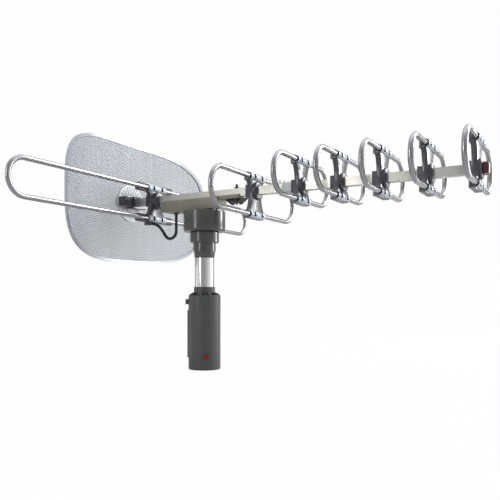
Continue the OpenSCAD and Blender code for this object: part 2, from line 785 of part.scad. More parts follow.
// Round flange of thickness t with a rounded front edge
flange_round = 2.8;
module flange(t) {
    rotate_extrude() polygon(concat([[0, 0], [flange_d / 2, 0]],
        [for (a = [0 : 15 : 90]) [flange_d / 2 - flange_round * (1 - cos(a)),
            t - flange_round * (1 - sin(a))]],
        [[0, t]]));
}

sleeve_slots = [-10.5, 10.5];

module director_bracket(i) {
    up = i == 0 ? hub_offset : -hub_offset;
    color("slategray") translate([0, ring_ys[i], boom_z - up])
        bracket(ring_h, bracket_half, bracket_waist, up, sleeve_slots, flange_t);
}

module dipole_bracket() {
    color("slategray") translate([0, dipole_y, boom_z - dipole_drop])
        bracket(dipole_h, dipole_rail, dipole_waist, dipole_drop, sleeve_slots,
            dipole_flange_t);
}

screw_y = plate_rear + hub_len - 4;
module bracket_screws() {
    color("dimgray") for (y = concat(ring_ys, [dipole_y]))
        translate([0, y + screw_y, boom_z + hub_w / 2])
            screw(screw_d - 2 * run_gap, (hub_w - boom_w) / 2, 4.6, head_h, $fn = 32);
}

// Small block under the dipole bracket's rail that takes the lead's end
module feed_terminal() {
    under = lead_d / 2 + 0.4;
    rail_under = -dipole_drop - dipole_h / 2 - rail_h / 2;
    color("black") translate(lead_end + [0, 0, boom_z]) rotate([0, 0, lead_turn])
        translate([slip, -4, -under])
        cube([terminal_len, 8, rail_under - lead_end[2] + under]);
}

module feed_lead() {
    base = [for (p = lead_route) p + [0, 0, boom_z]];
    p = smooth_path(base, 3);
    n = len(p);
    color("black") polyhedron(
        [for (i = [0 : n - 1]) each path_ring(p, i, lead_d / 2, lead_sides)],
        concat([[for (k = [0 : lead_sides - 1]) k]],
            [for (i = [0 : n - 2], k = [0 : lead_sides - 1]) let (a = i * lead_sides,
                b = a + lead_sides, m = (k + 1) % lead_sides) [a + k, b + k, b + m, a + m]],
            [[for (k = [lead_sides - 1 : -1 : 0]) (n - 1) * lead_sides + k]]));
}

// Slice of the bent sheet between two distances from its middle surface, rear positive
module bent_slab(back, front) {
    translate([0, bow_axis_y, reflector_z - reflector_h]) difference() {
        cylinder(r = bow_r + back, h = 2 * reflector_h, $fn = 256);
        translate([0, 0, -cut])
            cylinder(r = bow_r + front, h = 2 * reflector_h + 2 * cut, $fn = 256);
    }
}

module outline_prism(inset) {
    translate([0, reflector_y + reflector_h / 5, reflector_z]) rotate([90, 0, 0])
        linear_extrude(2 * reflector_h / 5 + reflector_bow) polygon([for (i = [0 : outline_steps - 1])
            squircle(360 * i / outline_steps, reflector_w / 2 - inset,
                reflector_h / 2 - inset, reflector_power)]);
}

// Sheet with rows of gaps; the middle stays whole behind the hub disc
module reflector_mesh() {
    color("lightsteelblue") difference() {
        intersection() {
            bent_slab(0, -mesh_t);
            outline_prism(rim_w / 2);
        }
        for (i = [0 : mesh_cols - 1], k = [0 : mesh_rows - 1])
            let (x = (i - (mesh_cols - 1) / 2) * mesh_pitch_x,
                z = (k - (mesh_rows - 1) / 2) * mesh_pitch_z,
                gx = mesh_pitch_x - mesh_web, gz = mesh_pitch_z - mesh_web)
            if (in_outline(abs(x) + gx / 2, abs(z) + gz / 2, rim_w + 1)
                && norm([x, z]) > disc_d / 2 + 4)
            translate([x - gx / 2, reflector_y - reflector_bow - 20, reflector_z + z - gz / 2])
                cube([gx, reflector_bow + 40, gz]);
        hub_holes(screw_d + 4 * slip);
    }
}

// Folded edge strip with a slot that takes the sheet's edge
module reflector_rim() {
    color("silver") difference() {
        intersection() {
            bent_slab(rim_t / 2 - mesh_t / 2, -rim_t / 2 - mesh_t / 2);
            outline_prism(0);
        }
        outline_prism(rim_w);
        intersection() {
            bent_slab(slip, -mesh_t - slip);
            outline_prism(rim_w / 2 - slip);
        }
    }
}

module hub_holes(d) {
    for (s = [-1, 1]) translate([s * hub_screw_x, reflector_y - 30, boom_z])
        rotate([-90, 0, 0]) cylinder(d = d, h = 60, $fn = 32);
}

// Disc with radial slots, its back face curved to seat on the sheet
slot_count = 28;
module reflector_hub() {
    color("white") difference() {
        translate([0, disc_front, boom_z]) rotate([-90, 0, 0]) difference() {
            turned(disc_d, disc_t + 3, 0.6);
            for (i = [0 : slot_count - 1]) rotate([0, 0, (i + 0.5) * 360 / slot_count])
                if (abs(sin((i + 0.5) * 360 / slot_count)) > 0.4) translate([13, -0.8, -cut])
                    cube([disc_d / 2 - 16, 1.6, 8]);
        }
        translate([0, bow_axis_y, boom_z - disc_d]) difference() {
            cylinder(r = bow_r + 20, h = 2 * disc_d, $fn = 256);
            translate([0, 0, -cut]) cylinder(r = bow_r - mesh_t - run_gap, h = 3 * disc_d, $fn = 1024);
        }
        hub_holes(screw_d + 2 * slip);
    }
}

module reflector_backplate() {
    color("silver") difference() {
        translate([0, reflector_y - 3, boom_z]) rotate([-90, 0, 0])
            linear_extrude(3 + backplate_t) square([clamp_w, clamp_h], center = true);
        translate([0, bow_axis_y, boom_z - clamp_h])
            cylinder(r = bow_r + run_gap, h = 2 * clamp_h, $fn = 1024);
        hub_holes(screw_d + 2 * slip);
    }
}

// Bar across the hub disc that grips the boom's rear end
module reflector_clamp() {
    color("dimgray") difference() {
        union() {
            translate([0, 0, boom_z]) bar_y(clamp_w, clamp_h, disc_front - clamp_t, disc_front);
            translate([0, 0, boom_z])
                bar_y(hub_w, hub_w, disc_front - clamp_t - 3, disc_front);
        }
        translate([0, 0, boom_z]) bar_y(hub_hole, hub_hole, 0, boom_rear + slip);
        hub_holes(screw_d + 2 * slip);
    }
}

module reflector_screws() {
    color("silver") for (s = [-1, 1]) translate([s * hub_screw_x, reflector_y + backplate_t, boom_z])
        rotate([-90, 0, 0]) screw(screw_d, reflector_y + backplate_t - disc_front + 8, 5, head_h, $fn = 32);
}

mast_sleeve();
clamp_screw();
mast_collar();
mast_tube();
mast_socket();
bearing_cup();
output_shaft();
thrust_washer();
shaft_circlip();
rotor_housing();
rotor_lid();
bearing_bush();
motor_plate();
gear_motor();
motor_screws();
lid_screws();
drum_bolts();
drum_nuts();
boom_cradle();
cradle_cover();
cradle_screws();
amplifier_board();
cable_gland();
boom_rear_tube();
boom_front_tube();
boom_splice();
boom_coupler();
boom_end_cap();
boom_bolt();
wing_nut();
dipole();
dipole_bracket();
feed_terminal();
feed_lead();
director(0);  // director_1
director(1);  // director_2
director(2);  // director_3
director(3);  // director_4
director(4);  // director_5
director(5);  // director_6
director_bracket(0);  // bracket_1
director_bracket(1);  // bracket_2
director_bracket(2);  // bracket_3
director_bracket(3);  // bracket_4
director_bracket(4);  // bracket_5
director_bracket(5);  // bracket_6
bracket_screws();
reflector_mesh();
reflector_rim();
reflector_hub();
reflector_backplate();
reflector_clamp();
reflector_screws();
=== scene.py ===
import math

import bmesh
import bpy
from mathutils import Matrix, Vector


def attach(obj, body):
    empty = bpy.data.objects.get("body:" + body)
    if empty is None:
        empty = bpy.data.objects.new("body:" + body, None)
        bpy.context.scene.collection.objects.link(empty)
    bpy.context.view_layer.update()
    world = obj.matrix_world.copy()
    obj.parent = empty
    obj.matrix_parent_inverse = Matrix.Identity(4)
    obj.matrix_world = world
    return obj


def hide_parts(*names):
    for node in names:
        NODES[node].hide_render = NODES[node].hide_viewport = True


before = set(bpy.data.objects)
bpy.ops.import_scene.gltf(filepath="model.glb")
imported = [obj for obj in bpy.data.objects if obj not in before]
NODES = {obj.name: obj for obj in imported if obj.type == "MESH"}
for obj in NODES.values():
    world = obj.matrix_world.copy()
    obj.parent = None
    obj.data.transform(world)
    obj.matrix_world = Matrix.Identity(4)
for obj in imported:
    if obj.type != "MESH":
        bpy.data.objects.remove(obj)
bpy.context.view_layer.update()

bl_info = {
    "name": "Outdoor TV antenna",
    "version": (1, 0, 0),
    "blender": (4, 5, 0),
    "location": "3D View > Sidebar > Antenna",
    "description": "Dresses the packed antenna: elements, brackets, mesh reflector, rotor, cable and stage",
    "category": "Add Mesh",
}

MM = 0.001

# Places that the part's source sets, in metres
BOOM_Z = 0.270
DIRECTOR_Y = [-0.093] + [-(0.1685 + 0.0596 * k) for k in range(5)]
HUB_OFFSET = 0.008
DIPOLE_Y = 0.096
REFLECTOR_Y = 0.154
REFLECTOR_Z = BOOM_Z
BOW_RADIUS = 0.462235
LEAD_D = 0.005
# The lead's route in millimetres, with heights from the boom's axis
LEAD_ROUTE = [
    (0, 54.8, -21), (0, 54.8, -31), (0, 54.8, -41), (0, 54.8, -51.2), (0, 56.4, -57.2),
    (0, 60.8, -61.6), (0, 66.8, -63.2), (0, 72.8, -61.6), (0, 77.2, -57.2),
    (-0.6, 80.8, -51.4), (-2.6, 84, -45.9), (-6, 87.2, -41.6), (-10.8, 90.3, -39.2),
    (-16, 93.3, -38.9),
]
# The room that lights the object: its brightness, how much brighter its right side is and
# how much darker it is round the camera, and how much of the white background metal shows
ROOM = 1.0
ROOM_RIGHT = 0.22
ROOM_CAMERA = 0.8
GLOSSY_SHARE = 0.15
CAMERA_AZIMUTH = math.radians(214.0)
# Half width of a bracket's sleeves, within which the element tubes are painted near black as painted shade,
# and the radius of its front flange
SLEEVE_HALF = 0.022
FLANGE_R = 0.0138
# A face looks forward along the boom when its normal's y is below this; such bracket faces are painted
# pale, as painted light
FORWARD = -0.35
# The woven sheet ends inside the rim, this much smaller than the reflector both ways
SHEET_INSET = 0.0046
SHEET_WIDTH = 0.348 - SHEET_INSET
SHEET_HEIGHT = 0.201 - SHEET_INSET
# How square its corners are, where 2 is an oval, and half its thickness
SHEET_POWER = 3.2
SHEET_HALF_T = 0.0005
# Moulded edges sharper than these are rounded, or kept sharp in the shading, and
# points closer than MERGE are joined first
BEVEL_ANGLE = math.radians(32.0)
SHARP_ANGLE = math.radians(40.0)
MERGE = 0.00001
# A ring's points, its tube's sides, and a step that keeps its middle points off zero
RING_POINTS = 96
TUBE_SIDES = 24
NUDGE = 0.0000001
# A wire's sides, and how far it swings each way in the weave, in wire diameters
WIRE_SIDES = 4
WEAVE_SWING = 0.42
# The camera that was fitted to the photo; the floor is square to it
CAMERA_PLACE = (-0.78984, -0.53659, BOOM_Z - 0.15696)
CAMERA_TURN = math.radians(-60.06)
CAMERA_LENS = 43.81
CAMERA_SHIFT = (0.0005, 0.0931)
# How much of the floor the camera sees as plain white; the rest takes the shadow
FLOOR_WHITE = 0.985
# Each lamp's name, place, aim, width and height, and power in watts
LAMPS = [
    ("key", (1.2, -1.0, 0.9), (0.0, -0.05, 0.24), (0.3, 1.3), 22.0),
    ("side", (-1.65, 0.55, 0.7), (0.0, 0.0, 0.2), (0.2, 1.0), 6.0),
    ("top", (0.2, -0.1, 1.9), (0.0, -0.1, 0.27), (1.6, 1.6), 6.0),
]
# The floor's half width, and its outline from front to back: distance and height
FLOOR_HALF = 4.0
FLOOR_OUTLINE = [(-2.5, 0.0), (2.0, 0.0), (2.6, 0.05), (3.0, 0.3), (3.1, 0.8), (3.1, 3.0)]
# Steps between two points of the lead's route, and output numbers of two nodes
LEAD_STEPS = 6
OBJECT_COORDS = 3
OBJECT_GEOMETRY = 4


# Shader maths
class Sock:
    """One value in a material; arithmetic on it adds Math nodes."""

    def __init__(self, build, socket):
        self.build = build
        self.socket = socket

    def _math(self, operation, *values):
        return self.build.node("ShaderNodeMath", {"operation": operation}, *values)

    def __add__(self, other):
        return self._math("ADD", self, other)

    __radd__ = __add__

    def __mul__(self, other):
        return self._math("MULTIPLY", self, other)

    def __sub__(self, other):
        return self._math("SUBTRACT", self, other)

    def __rsub__(self, other):
        return self._math("SUBTRACT", other, self)

    def smooth(self, low, high):
        """0 below low, 1 above high, eased between."""
        return self.build.node(
            "ShaderNodeMapRange",
            {"interpolation_type": "SMOOTHSTEP"},
            Value=self, **{"From Min": low, "From Max": high},
        )


class Finish:
    """Builds one procedural material round a Principled shader."""

    def __init__(self, name):
        self.material = bpy.data.materials.new(name)
        self.material.use_nodes = True
        self.tree = self.material.node_tree
        self.tree.nodes.clear()
        self.output = self.tree.nodes.new("ShaderNodeOutputMaterial")
        self.shader = self.tree.nodes.new("ShaderNodeBsdfPrincipled")
        self.tree.links.new(self.shader.outputs[0], self.output.inputs["Surface"])

    def put(self, socket, value):
        if isinstance(value, Sock):
            self.tree.links.new(value.socket, socket)
        elif socket.type == "RGBA" and len(value) == 3:
            socket.default_value = (*value, 1.0)
        else:
            socket.default_value = value

    def node(self, kind, settings=None, *values, out=0, **named):
        """Adds a node: settings first, then the values or links of its sockets."""
        made = self.tree.nodes.new(kind)
        for key, value in (settings or {}).items():
            setattr(made, key, value)
        for socket, value in zip(made.inputs, values):
            self.put(socket, value)
        for key, value in named.items():
            self.put(made.inputs[key], value)
        return Sock(self, made.outputs[out])

    def coords(self, scale=(1.0, 1.0, 1.0)):
        raw = self.node("ShaderNodeTexCoord", out=OBJECT_COORDS)
        return self.node("ShaderNodeMapping", None, Vector=raw, Scale=scale)

    def noise(self, where, scale, detail=3.0, rough=0.55):
        return self.node("ShaderNodeTexNoise", None, Vector=where, Scale=scale,
                         Detail=detail, Roughness=rough)

    def blend(self, factor, first, second):
        made = self.tree.nodes.new("ShaderNodeMix")
        made.data_type = "RGBA"
        self.put(made.inputs[0], factor)
        self.put(made.inputs[6], first)
        self.put(made.inputs[7], second)
        return Sock(self, made.outputs[2])

    def bump(self, height, strength, distance):
        return self.node("ShaderNodeBump", None, Strength=strength, Distance=distance,
                         Height=height)

    def surface(self, **sockets):
        for key, value in sockets.items():
            self.put(self.shader.inputs[key.replace("_", " ")], value)
        return self.material


def tint(colour, gain):
    """A colour made brighter or darker, kept within 0 to 1."""
    return tuple(min(1.0, max(0.0, c * gain)) for c in colour)


def moulded(name, colour, rough=0.38, grain=900.0, depth=0.00004, coat=0.0, dust=0.35):
    """Moulded plastic: fine grain, flow mottling, and a paler dust in the broad noise."""
    f = Finish(name)
    at = f.coords()
    fine = f.noise(at, grain, 2.0)
    broad = f.noise(at, 38.0, 4.0, 0.6)
    streak = f.noise(f.coords(scale=(60.0, 60.0, 9.0)), 1.0, 3.0)
    worn = (broad * 0.6 + streak * 0.4).smooth(0.42, 0.72)
    colour_map = f.blend(worn * dust, tint(colour, 0.86), tint(colour, 1.3))
    return f.surface(
        Base_Color=colour_map,
        Roughness=rough + (broad - 0.5) * 0.16 + (fine - 0.5) * 0.08,
        Coat_Weight=coat, Coat_Roughness=0.12, IOR=1.5,
        Normal=f.bump(fine * 0.6 + broad * 0.8, 0.35, depth),
    )


def drawn_metal(name, colour, rough=0.22, along=(1.0, 1.0, 1.0), lines=520.0, metallic=1.0,
                stain=0.25, shade_half=None):
    """Drawn or brushed metal: lines along the draw, faint clouding and specks.

    Near the middle of its length, within the given half width, it is painted near black and not metallic:
    painted shade where the tube runs inside a bracket's sleeve.
    """
    f = Finish(name)
    lined = f.noise(f.coords(scale=along), lines, 3.0, 0.6)
    cloud = f.noise(f.coords(), 22.0, 4.0, 0.6)
    speck = f.noise(f.coords(), 310.0, 2.0)
    dull = cloud.smooth(0.4, 0.75)
    colour_map = f.blend(dull * stain + (lined - 0.5) * 0.2, colour, tint(colour, 0.72))
    if shade_half:
        # Painted shade: a near-black, non-metallic band where the tube runs in the dark inside of a
        # bracket's sleeve
        x = f.node("ShaderNodeSeparateXYZ", None, f.coords())
        painted_shade = 1.0 - (x * x).smooth(shade_half * shade_half * 0.98, shade_half * shade_half)
        colour_map = f.blend(painted_shade, colour_map, (0.01, 0.01, 0.012))
        metallic = metallic - painted_shade * metallic
    return f.surface(
        Base_Color=colour_map, Metallic=metallic,
        Roughness=rough + (lined - 0.5) * 0.16 + dull * 0.1 + (speck - 0.5) * 0.05,
        Normal=f.bump(lined, 0.25, 0.00002),
    )


def woven_wire(name, colour):
    """Painted wire: faint clouding over a fine grain."""
    f = Finish(name)
    cloud = f.noise(f.coords(), 16.0, 3.0)
    fine = f.noise(f.coords(), 700.0, 2.0)
    return f.surface(
        Base_Color=f.blend(cloud.smooth(0.35, 0.7), tint(colour, 0.93), tint(colour, 1.05)),
        Metallic=0.25, Roughness=0.42 + (fine - 0.5) * 0.2,
        Normal=f.bump(fine, 0.3, 0.00002),
    )


def rubber(name, colour):
    """Matte rubber: a fine grain over broad shading."""
    f = Finish(name)
    fine = f.noise(f.coords(), 800.0, 2.0)
    broad = f.noise(f.coords(), 60.0, 3.0)
    return f.surface(
        Base_Color=f.blend(broad, tint(colour, 0.8), tint(colour, 1.5)),
        Roughness=0.45 + (fine - 0.5) * 0.2,
        Normal=f.bump(fine, 0.4, 0.00003),
    )


def circuit_board(name, colour):
    """Lacquered board with paler tracks."""
    f = Finish(name)
    tracks = f.node("ShaderNodeTexBrick", {"offset": 0.3}, Vector=f.coords(), Scale=260.0,
                    out=1, **{"Mortar Size": 0.03})
    return f.surface(Base_Color=f.blend(tracks, colour, tint(colour, 2.2)), Roughness=0.35,
                     Normal=f.bump(tracks, 0.3, 0.0001))


FINISHES = {}


def make_finishes(paint):
    """Builds every material once, from the panel's colours."""
    along_x = (0.03, 1.0, 1.0)
    along_y = (1.0, 0.03, 1.0)
    along_z = (1.0, 1.0, 0.03)
    FINISHES.update(
        sleeve=moulded("sleeve_plastic", paint.sleeve, 0.42, 1100.0, 0.00005),
        drum=moulded("drum_plastic", paint.drum, 0.27, 900.0, 0.00002, 0.35),
        cradle=moulded("cradle_plastic", paint.cradle, 0.4, 1000.0, 0.00005),
        bracket=moulded("bracket_plastic", paint.bracket, 0.3, 1000.0, 0.00003, 0.3),
        knob=moulded("knob_plastic", paint.knob, 0.35),
        # Painted light: the pale colour of the brackets' forward faces stands for the glare on their dark
        # plastic
        front=moulded("bracket_front", paint.front, 0.22, 1000.0, 0.00002, 0.5, 0.2),
        hub=moulded("hub_plastic", paint.hub, 0.35),
        cap=moulded("cap_plastic", paint.cap, 0.3, 1000.0, 0.00003, 0.3),
        nylon=moulded("nylon", (0.75, 0.73, 0.65), 0.45),
        screw_red=drawn_metal("screw_red", paint.screw, 0.4, metallic=0.5),
        chrome=drawn_metal("mast_tube_metal", paint.chrome, 0.12, along_z, 700.0, stain=0.15),
        # The element tubes carry a band of painted shade inside the brackets' sleeves
        element=drawn_metal("element_metal", paint.element, 0.2, along_x, 420.0,
                            shade_half=SLEEVE_HALF - 0.0003),
        boom=drawn_metal("boom_metal", paint.boom, 0.3, along_y, 600.0, metallic=0.75),
        rim=drawn_metal("rim_metal", paint.rim, 0.3, along_z, 500.0, metallic=0.7),
        steel=drawn_metal("zinc_steel", (0.58, 0.58, 0.57), 0.3),
        dark_steel=drawn_metal("black_steel", (0.07, 0.07, 0.07), 0.4, metallic=0.6),
        bronze=drawn_metal("bush_bronze", (0.62, 0.42, 0.2), 0.3),
        mesh=woven_wire("mesh_paint", paint.mesh),
        cord=rubber("cord_rubber", paint.cord),
        board=circuit_board("board", (0.02, 0.1, 0.045)),
    )


# Shape helpers
def from_bmesh(bm, name):
    """An object from a bmesh, which is freed."""
    mesh = bpy.data.meshes.new(name)
    bm.to_mesh(mesh)
    bm.free()
    return bpy.data.objects.new(name, mesh)


def baked(obj):
    """Turns an object with modifiers into a plain one of the same name."""
    view = bpy.context.evaluated_depsgraph_get()
    view.update()
    mesh = bpy.data.meshes.new_from_object(obj.evaluated_get(view), depsgraph=view)
    obj.modifiers.clear()
    old = obj.data
    if obj.type == "MESH":
        obj.data = mesh
        made = obj
    else:
        name = obj.name
        bpy.data.objects.remove(obj)
        made = bpy.data.objects.new(name, mesh)
        bpy.context.scene.collection.objects.link(made)
    mesh.name = made.name
    if old.users == 0 and isinstance(old, bpy.types.Mesh):
        bpy.data.meshes.remove(old)
    return made


def softened(node, name, width):
    """A copy of a CAD node with its edges rounded, standing for that node."""
    bm = bmesh.new()
    bm.from_mesh(NODES[node].data)
    bmesh.ops.remove_doubles(bm, verts=bm.verts, dist=MERGE)
    bmesh.ops.dissolve_limit(bm, angle_limit=math.radians(1.0), verts=bm.verts, edges=bm.edges)
    obj = from_bmesh(bm, name)
    obj.data.materials.clear()
    bpy.context.scene.collection.objects.link(obj)
    bevel = obj.modifiers.new("edge", "BEVEL")
    bevel.width = width
    bevel.segments = 2
    bevel.limit_method = "ANGLE"
    bevel.angle_limit = BEVEL_ANGLE
    bevel.use_clamp_overlap = True
    soft = baked(obj)
    soft.data.polygons.foreach_set("use_smooth", [True] * len(soft.data.polygons))
    soft.data.set_sharp_from_angle(angle=SHARP_ANGLE)
    return soft


def stand_for(obj, body, *nodes, slot):
    """Makes a piece ride on a body, in the place of CAD nodes; slot is not used."""
    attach(obj, body)
    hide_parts(*nodes)


# Geometry node helpers
class Recipe:
    """A Geometry Nodes tree with named inputs, applied to one object."""

    def __init__(self, name):
        self.tree = bpy.data.node_groups.new(name, "GeometryNodeTree")
        self.tree.interface.new_socket("Geometry", in_out="INPUT",
                                       socket_type="NodeSocketGeometry")
        self.tree.interface.new_socket("Geometry", in_out="OUTPUT",
                                       socket_type="NodeSocketGeometry")
        self.start = self.tree.nodes.new("NodeGroupInput")
        self.end = self.tree.nodes.new("NodeGroupOutput")
        self.values = {}

    def setting(self, name, kind, value):
        made = self.tree.interface.new_socket(name, in_out="INPUT",
                                              socket_type="NodeSocket" + kind)
        self.values[made.identifier] = value
        return self.start.outputs[name]

    def put(self, kind, settings=None, out=0, **sockets):
        made = self.tree.nodes.new(kind)
        for key, value in (settings or {}).items():
            setattr(made, key, value)
        for key, value in sockets.items():
            target = made.inputs[int(key[1:])] if key[0] == "_" else made.inputs[key]
            if isinstance(value, bpy.types.NodeSocket):
                self.tree.links.new(value, target)
            else:
                target.default_value = value
        return made.outputs[out]

    def maths(self, operation, a, b=0.0):
        return self.put("ShaderNodeMath", {"operation": operation}, _0=a, _1=b)

    def finish(self, geometry, finish):
        solid = self.put("GeometryNodeRealizeInstances", Geometry=geometry)
        stuff = self.setting("Finish", "Material", FINISHES[finish])
        painted = self.put("GeometryNodeSetMaterial", Geometry=solid, Material=stuff)
        self.tree.links.new(painted, self.end.inputs[0])

    def make(self, name, source=None):
        mesh = source or bpy.data.meshes.new(name)
        obj = bpy.data.objects.new(name, mesh)
        bpy.context.scene.collection.objects.link(obj)
        modifier = obj.modifiers.new("recipe", "NODES")
        modifier.node_group = self.tree
        for identifier, value in self.values.items():
            modifier[identifier] = value
        obj.data.update()
        return baked(obj)


def racetrack_recipe(width, height, tube):
    """Rings of round tube: a racetrack centreline, swept, one on every place."""
    r = Recipe("ring_of_tube")
    wide = r.setting("Width", "Float", width)
    high = r.setting("Height", "Float", height)
    thick = r.setting("Tube diameter", "Float", tube)
    half = r.maths("MULTIPLY", high, 0.5)
    reach = r.maths("SUBTRACT", r.maths("MULTIPLY", wide, 0.5), half)
    # A circle whose halves are pushed apart by the straight length
    ring = r.put("GeometryNodeCurvePrimitiveCircle", Resolution=RING_POINTS, Radius=half)
    place = r.put("GeometryNodeInputPosition")
    xyz = r.tree.nodes.new("ShaderNodeSeparateXYZ")
    r.tree.links.new(place, xyz.inputs[0])
    side = r.maths("SIGN", r.maths("ADD", xyz.outputs[0], NUDGE))
    x = r.maths("ADD", xyz.outputs[0], r.maths("MULTIPLY", side, reach))
    stood = r.put("ShaderNodeCombineXYZ", _0=x, _1=0.0, _2=xyz.outputs[1])
    track = r.put("GeometryNodeSetPosition", Geometry=ring, Position=stood)
    profile = r.put("GeometryNodeCurvePrimitiveCircle", Resolution=TUBE_SIDES,
                    Radius=r.maths("MULTIPLY", thick, 0.5))
    tube_mesh = r.put("GeometryNodeCurveToMesh", Curve=track, **{"Profile Curve": profile})
    tube_mesh = r.put("GeometryNodeSetShadeSmooth", Geometry=tube_mesh)
    points = r.put("GeometryNodeMeshToPoints", Mesh=r.start.outputs[0])
    laid = r.put("GeometryNodeInstanceOnPoints", Points=points, Instance=tube_mesh)
    r.finish(laid, "element")
    return r


def woven_recipe(width, height, power, bow, pitch, wire):
    """Woven wire sheet: two families of bent wires cut to a squarish oval."""
    r = Recipe("woven_sheet")
    wide = r.setting("Width", "Float", width)
    high = r.setting("Height", "Float", height)
    squareness = r.setting("Corner squareness", "Float", power)
    radius = r.setting("Bow radius", "Float", bow)
    step = r.setting("Wire pitch", "Float", pitch)
    thick = r.setting("Wire diameter", "Float", wire)
    across = 2 * int(width / pitch / 2) + 1
    upward = 2 * int(height / pitch / 2) + 1
    grid = r.put("GeometryNodeMeshGrid", **{
        "Size X": (across - 1) * pitch, "Size Y": (upward - 1) * pitch,
        "Vertices X": across, "Vertices Y": upward})
    place = r.put("GeometryNodeInputPosition")
    xyz = r.tree.nodes.new("ShaderNodeSeparateXYZ")
    r.tree.links.new(place, xyz.inputs[0])
    x, z = xyz.outputs[0], xyz.outputs[1]
    fx = r.maths("POWER", r.maths("ABSOLUTE", r.maths("DIVIDE", x, r.maths("MULTIPLY", wide, 0.5))),
               squareness)
    fz = r.maths("POWER", r.maths("ABSOLUTE", r.maths("DIVIDE", z, r.maths("MULTIPLY", high, 0.5))),
               squareness)
    outside = r.maths("GREATER_THAN", r.maths("ADD", fx, fz), 1.0)
    column = r.maths("ROUND", r.maths("DIVIDE", x, step))
    row = r.maths("ROUND", r.maths("DIVIDE", z, step))
    weave = r.maths("COSINE", r.maths("MULTIPLY", r.maths("ADD", column, row), math.pi))
    families = r.tree.nodes.new("GeometryNodeJoinGeometry")
    for sign, line, order in ((1.0, column, z), (-1.0, row, x)):
        points = r.put("GeometryNodeMeshToPoints", Mesh=grid)
        kept = r.put("GeometryNodeDeleteGeometry", {"domain": "POINT"}, Geometry=points,
                     Selection=outside)
        wires = r.put("GeometryNodePointsToCurves", _0=kept, _1=line, _2=order)
        swing = r.maths("MULTIPLY", weave, r.maths("MULTIPLY", thick, WEAVE_SWING * sign))
        out = r.maths("ADD", swing, radius)
        y = r.maths("SQRT", r.maths("SUBTRACT", r.maths("MULTIPLY", out, out),
                                r.maths("MULTIPLY", x, x)))
        bent = r.put("ShaderNodeCombineXYZ", _0=x, _1=y, _2=z)
        wires = r.put("GeometryNodeSetPosition", Geometry=wires, Position=bent)
        round_wire = r.put("GeometryNodeCurvePrimitiveCircle", Resolution=WIRE_SIDES,
                           Radius=r.maths("MULTIPLY", thick, 0.5))
        solid = r.put("GeometryNodeCurveToMesh", Curve=wires,
                      **{"Profile Curve": round_wire, "Fill Caps": True})
        r.tree.links.new(solid, families.inputs[0])
    r.finish(families.outputs[0], "mesh")
    return r


def bracket_recipe(pattern):
    """Copies of one bracket moulding on every ring plane."""
    r = Recipe("bracket_row")
    item = r.setting("Bracket", "Object", pattern)
    info = r.put("GeometryNodeObjectInfo", {"transform_space": "ORIGINAL"},
                 out=OBJECT_GEOMETRY, Object=item)
    points = r.put("GeometryNodeMeshToPoints", Mesh=r.start.outputs[0])
    laid = r.put("GeometryNodeInstanceOnPoints", Points=points, Instance=info)
    solid = r.put("GeometryNodeRealizeInstances", Geometry=laid)
    r.tree.links.new(solid, r.end.inputs[0])
    return r


def place_mesh(name, places):
    """A mesh of loose points that mark where copies go."""
    mesh = bpy.data.meshes.new(name)
    mesh.from_pydata([Vector(p) for p in places], [], [])
    return mesh


def move(obj, offset):
    """Shifts an object's mesh, with its origin left where it is."""
    obj.data.transform(Matrix.Translation(Vector(offset)))
    obj.data.update()
    return obj


def paint_front_light(obj, plane):
    """Gives the shell's faces that look forward along the boom a pale colour: painted light, the glare that
    falls on the dark plastic there.

    The hub's flange and the inside of the slots keep the dark one.
    """
    obj.data.materials.clear()
    obj.data.materials.append(FINISHES["bracket"])
    obj.data.materials.append(FINISHES["front"])
    for face in obj.data.polygons:
        at = face.center
        off_hub = math.hypot(at.x, at.z - BOOM_Z) > FLANGE_R
        # Forward faces off the hub get the pale painted light
        ahead = face.normal.y < FORWARD and at.y < plane
        face.material_index = 1 if ahead and off_hub else 0
    return obj


def dress(finish, *nodes):
    """Gives CAD nodes that stay as they are their finish."""
    for node in nodes:
        mesh = NODES[node].data
        mesh.materials.clear()
        mesh.materials.append(FINISHES[finish])


# The panel's sizes and colours
def colour_property(name, description, default):
    """One colour of the panel."""
    return bpy.props.FloatVectorProperty(name=name, description=description, default=default,
                                         subtype="COLOR", size=3, min=0.0, max=1.0)


class AntennaPaint(bpy.types.PropertyGroup):
    """The panel's colours"""
    sleeve: colour_property("Sleeve", "Mast sleeve and collar", (0.085, 0.09, 0.088))
    drum: colour_property("Rotor", "Rotor drum, cup and socket", (0.086, 0.09, 0.084))
    cradle: colour_property("Cradle", "Cradle under the boom", (0.26, 0.25, 0.195))
    bracket: colour_property("Bracket", "Element brackets", (0.075, 0.073, 0.09))
    # Painted light: the pale colour painted on the brackets' forward faces for the glare on them
    front: colour_property("Bracket front", "Forward faces of the brackets", (0.66, 0.74, 0.84))
    knob: colour_property("Knob", "Wing knob under the boom", (0.03, 0.03, 0.036))
    hub: colour_property("Hub", "Reflector hub and boom coupler", (0.72, 0.75, 0.77))
    cap: colour_property("End cap", "Cap on the boom's end", (0.10, 0.014, 0.024))
    screw: colour_property("Clamp screw", "Mast clamp screw", (0.24, 0.05, 0.035))
    chrome: colour_property("Mast tube", "Polished mast tube", (0.86, 0.84, 0.84))
    element: colour_property("Elements", "Dipole and ring directors", (0.37, 0.36, 0.385))
    boom: colour_property("Boom", "Square boom tube", (0.52, 0.51, 0.475))
    rim: colour_property("Reflector rim", "Folded edge of the reflector", (0.5, 0.52, 0.56))
    mesh: colour_property("Reflector mesh", "Woven wire of the reflector", (0.5, 0.54, 0.6))
    cord: colour_property("Feed lead", "Black feed lead", (0.012, 0.012, 0.013))


